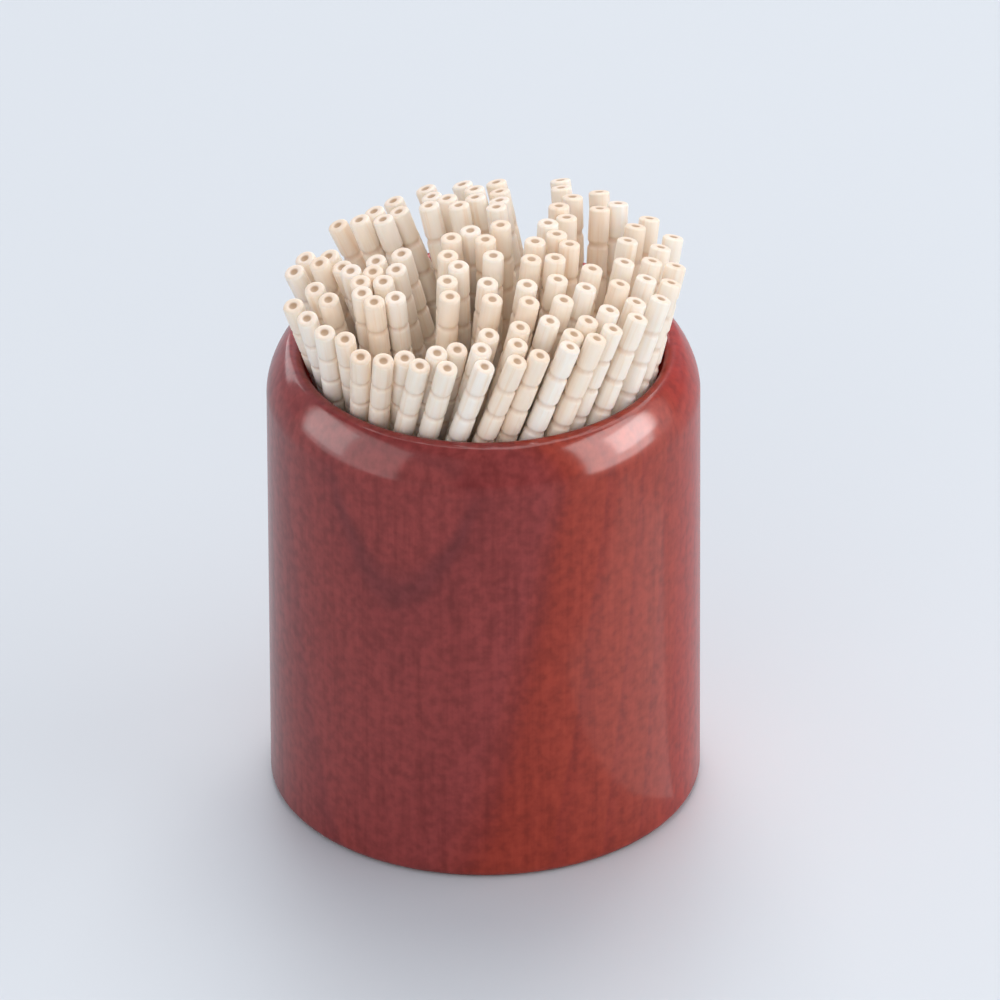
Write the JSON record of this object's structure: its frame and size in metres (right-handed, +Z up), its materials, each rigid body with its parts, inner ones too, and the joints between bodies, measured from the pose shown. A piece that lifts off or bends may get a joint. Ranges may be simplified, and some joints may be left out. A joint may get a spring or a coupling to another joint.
{
  "type": "toothpick holder",
  "caption": "Small turned, stained and lacquered wooden cup with a rounded shoulder, holding a loose twisted sheaf of grooved wooden toothpicks, heads up.",
  "frame": {"origin": "centre of the cup's flat underside, on the surface that it stands on", "axes": "+Z up along the cup's axis; +Y away from the side that the heads lean lowest over; +X to the right seen from that side"},
  "size_m": [0.045, 0.045, 0.0651],
  "materials": {
    "lacquered_wood": "turned hardwood, stained red-brown under a clear gloss lacquer",
    "birch": "plain polished birch, uncoated"
  },
  "bodies": {
    "cup": {"cup": "lacquered_wood", "core_picks": "birch"},
    "pick_01": {"pick_01": "birch"},
    "pick_02": {"pick_02": "birch"},
    "pick_03": {"pick_03": "birch"},
    "pick_04": {"pick_04": "birch"},
    "pick_05": {"pick_05": "birch"},
    "pick_06": {"pick_06": "birch"},
    "pick_07": {"pick_07": "birch"},
    "pick_08": {"pick_08": "birch"},
    "pick_09": {"pick_09": "birch"},
    "pick_10": {"pick_10": "birch"},
    "pick_11": {"pick_11": "birch"},
    "pick_12": {"pick_12": "birch"},
    "pick_13": {"pick_13": "birch"},
    "pick_14": {"pick_14": "birch"},
    "pick_15": {"pick_15": "birch"},
    "pick_16": {"pick_16": "birch"},
    "pick_17": {"pick_17": "birch"},
    "pick_18": {"pick_18": "birch"},
    "pick_19": {"pick_19": "birch"},
    "pick_20": {"pick_20": "birch"},
    "pick_21": {"pick_21": "birch"},
    "pick_22": {"pick_22": "birch"},
    "pick_23": {"pick_23": "birch"},
    "pick_24": {"pick_24": "birch"},
    "pick_25": {"pick_25": "birch"},
    "pick_26": {"pick_26": "birch"},
    "pick_27": {"pick_27": "birch"},
    "pick_28": {"pick_28": "birch"},
    "pick_29": {"pick_29": "birch"},
    "pick_30": {"pick_30": "birch"},
    "pick_31": {"pick_31": "birch"},
    "pick_32": {"pick_32": "birch"},
    "pick_33": {"pick_33": "birch"},
    "pick_34": {"pick_34": "birch"},
    "pick_35": {"pick_35": "birch"},
    "pick_36": {"pick_36": "birch"},
    "pick_37": {"pick_37": "birch"},
    "pick_38": {"pick_38": "birch"},
    "pick_39": {"pick_39": "birch"},
    "pick_40": {"pick_40": "birch"}
  },
  "joints": [
    {"name": "pick_01_draw", "type": "slide", "parent": "cup", "child": "pick_01", "axis": [0.1899, 0.2752, 0.9424], "range_m": [0, 0.065]},
    {"name": "pick_02_draw", "type": "slide", "parent": "cup", "child": "pick_02", "axis": [0.2549, 0.2203, 0.9415], "range_m": [0, 0.065]},
    {"name": "pick_03_draw", "type": "slide", "parent": "cup", "child": "pick_03", "axis": [0.2928, 0.1713, 0.9407], "range_m": [0, 0.065]},
    {"name": "pick_04_draw", "type": "slide", "parent": "cup", "child": "pick_04", "axis": [0.3365, -0.0534, 0.9402], "range_m": [0, 0.065]},
    {"name": "pick_05_draw", "type": "slide", "parent": "cup", "child": "pick_05", "axis": [0.3375, 0.0519, 0.9399], "range_m": [0, 0.065]},
    {"name": "pick_06_draw", "type": "slide", "parent": "cup", "child": "pick_06", "axis": [0.3299, -0.0978, 0.9389], "range_m": [0, 0.065]},
    {"name": "pick_07_draw", "type": "slide", "parent": "cup", "child": "pick_07", "axis": [0.3222, 0.1214, 0.9389], "range_m": [0, 0.065]},
    {"name": "pick_08_draw", "type": "slide", "parent": "cup", "child": "pick_08", "axis": [0.299, -0.2126, 0.9303], "range_m": [0, 0.065]},
    {"name": "pick_09_draw", "type": "slide", "parent": "cup", "child": "pick_09", "axis": [0.2557, -0.2819, 0.9247], "range_m": [0, 0.065]},
    {"name": "pick_10_draw", "type": "slide", "parent": "cup", "child": "pick_10", "axis": [0.1813, -0.3448, 0.921], "range_m": [0, 0.065]},
    {"name": "pick_11_draw", "type": "slide", "parent": "cup", "child": "pick_11", "axis": [0.1543, -0.3681, 0.9169], "range_m": [0, 0.065]},
    {"name": "pick_12_draw", "type": "slide", "parent": "cup", "child": "pick_12", "axis": [-0.0833, -0.3955, 0.9147], "range_m": [0, 0.065]},
    {"name": "pick_13_draw", "type": "slide", "parent": "cup", "child": "pick_13", "axis": [0.0532, -0.4045, 0.913], "range_m": [0, 0.065]},
    {"name": "pick_14_draw", "type": "slide", "parent": "cup", "child": "pick_14", "axis": [0.0102, -0.4274, 0.904], "range_m": [0, 0.065]},
    {"name": "pick_15_draw", "type": "slide", "parent": "cup", "child": "pick_15", "axis": [-0.2329, -0.3535, 0.906], "range_m": [0, 0.065]},
    {"name": "pick_16_draw", "type": "slide", "parent": "cup", "child": "pick_16", "axis": [-0.1779, -0.3701, 0.9118], "range_m": [0, 0.065]},
    {"name": "pick_17_draw", "type": "slide", "parent": "cup", "child": "pick_17", "axis": [0.2966, -0.1993, 0.934], "range_m": [0, 0.065]},
    {"name": "pick_18_draw", "type": "slide", "parent": "cup", "child": "pick_18", "axis": [0.332, -0.0479, 0.942], "range_m": [0, 0.065]},
    {"name": "pick_19_draw", "type": "slide", "parent": "cup", "child": "pick_19", "axis": [-0.3195, -0.2584, 0.9117], "range_m": [0, 0.065]},
    {"name": "pick_20_draw", "type": "slide", "parent": "cup", "child": "pick_20", "axis": [0.1247, 0.2971, 0.9467], "range_m": [0, 0.065]},
    {"name": "pick_21_draw", "type": "slide", "parent": "cup", "child": "pick_21", "axis": [-0.0866, -0.4036, 0.9108], "range_m": [0, 0.065]},
    {"name": "pick_22_draw", "type": "slide", "parent": "cup", "child": "pick_22", "axis": [-0.1215, 0.3338, 0.9348], "range_m": [0, 0.065]},
    {"name": "pick_23_draw", "type": "slide", "parent": "cup", "child": "pick_23", "axis": [0.2091, 0.2338, 0.9495], "range_m": [0, 0.065]},
    {"name": "pick_24_draw", "type": "slide", "parent": "cup", "child": "pick_24", "axis": [0.3138, 0.0549, 0.9479], "range_m": [0, 0.065]},
    {"name": "pick_25_draw", "type": "slide", "parent": "cup", "child": "pick_25", "axis": [-0.0351, 0.3358, 0.9413], "range_m": [0, 0.065]},
    {"name": "pick_26_draw", "type": "slide", "parent": "cup", "child": "pick_26", "axis": [-0.3595, -0.2047, 0.9104], "range_m": [0, 0.065]},
    {"name": "pick_27_draw", "type": "slide", "parent": "cup", "child": "pick_27", "axis": [0.3226, -0.096, 0.9416], "range_m": [0, 0.065]},
    {"name": "pick_28_draw", "type": "slide", "parent": "cup", "child": "pick_28", "axis": [0.0569, -0.4123, 0.9093], "range_m": [0, 0.065]},
    {"name": "pick_29_draw", "type": "slide", "parent": "cup", "child": "pick_29", "axis": [0.1393, -0.3456, 0.928], "range_m": [0, 0.065]},
    {"name": "pick_30_draw", "type": "slide", "parent": "cup", "child": "pick_30", "axis": [0.2777, 0.1257, 0.9524], "range_m": [0, 0.065]},
    {"name": "pick_31_draw", "type": "slide", "parent": "cup", "child": "pick_31", "axis": [0.2415, 0.1789, 0.9538], "range_m": [0, 0.065]},
    {"name": "pick_32_draw", "type": "slide", "parent": "cup", "child": "pick_32", "axis": [0.2556, -0.2202, 0.9414], "range_m": [0, 0.065]},
    {"name": "pick_33_draw", "type": "slide", "parent": "cup", "child": "pick_33", "axis": [0.1996, -0.2866, 0.937], "range_m": [0, 0.065]},
    {"name": "pick_34_draw", "type": "slide", "parent": "cup", "child": "pick_34", "axis": [-0.236, -0.3115, 0.9205], "range_m": [0, 0.065]},
    {"name": "pick_35_draw", "type": "slide", "parent": "cup", "child": "pick_35", "axis": [0.2994, -0.034, 0.9535], "range_m": [0, 0.065]},
    {"name": "pick_36_draw", "type": "slide", "parent": "cup", "child": "pick_36", "axis": [-0.3937, -0.0615, 0.9172], "range_m": [0, 0.065]},
    {"name": "pick_37_draw", "type": "slide", "parent": "cup", "child": "pick_37", "axis": [0.0434, 0.2846, 0.9577], "range_m": [0, 0.065]},
    {"name": "pick_38_draw", "type": "slide", "parent": "cup", "child": "pick_38", "axis": [0.3078, -0.0771, 0.9483], "range_m": [0, 0.065]},
    {"name": "pick_39_draw", "type": "slide", "parent": "cup", "child": "pick_39", "axis": [-0.1804, -0.3229, 0.9291], "range_m": [0, 0.065]},
    {"name": "pick_40_draw", "type": "slide", "parent": "cup", "child": "pick_40", "axis": [-0.3419, 0.1481, 0.928], "range_m": [0, 0.065]}
  ]
}
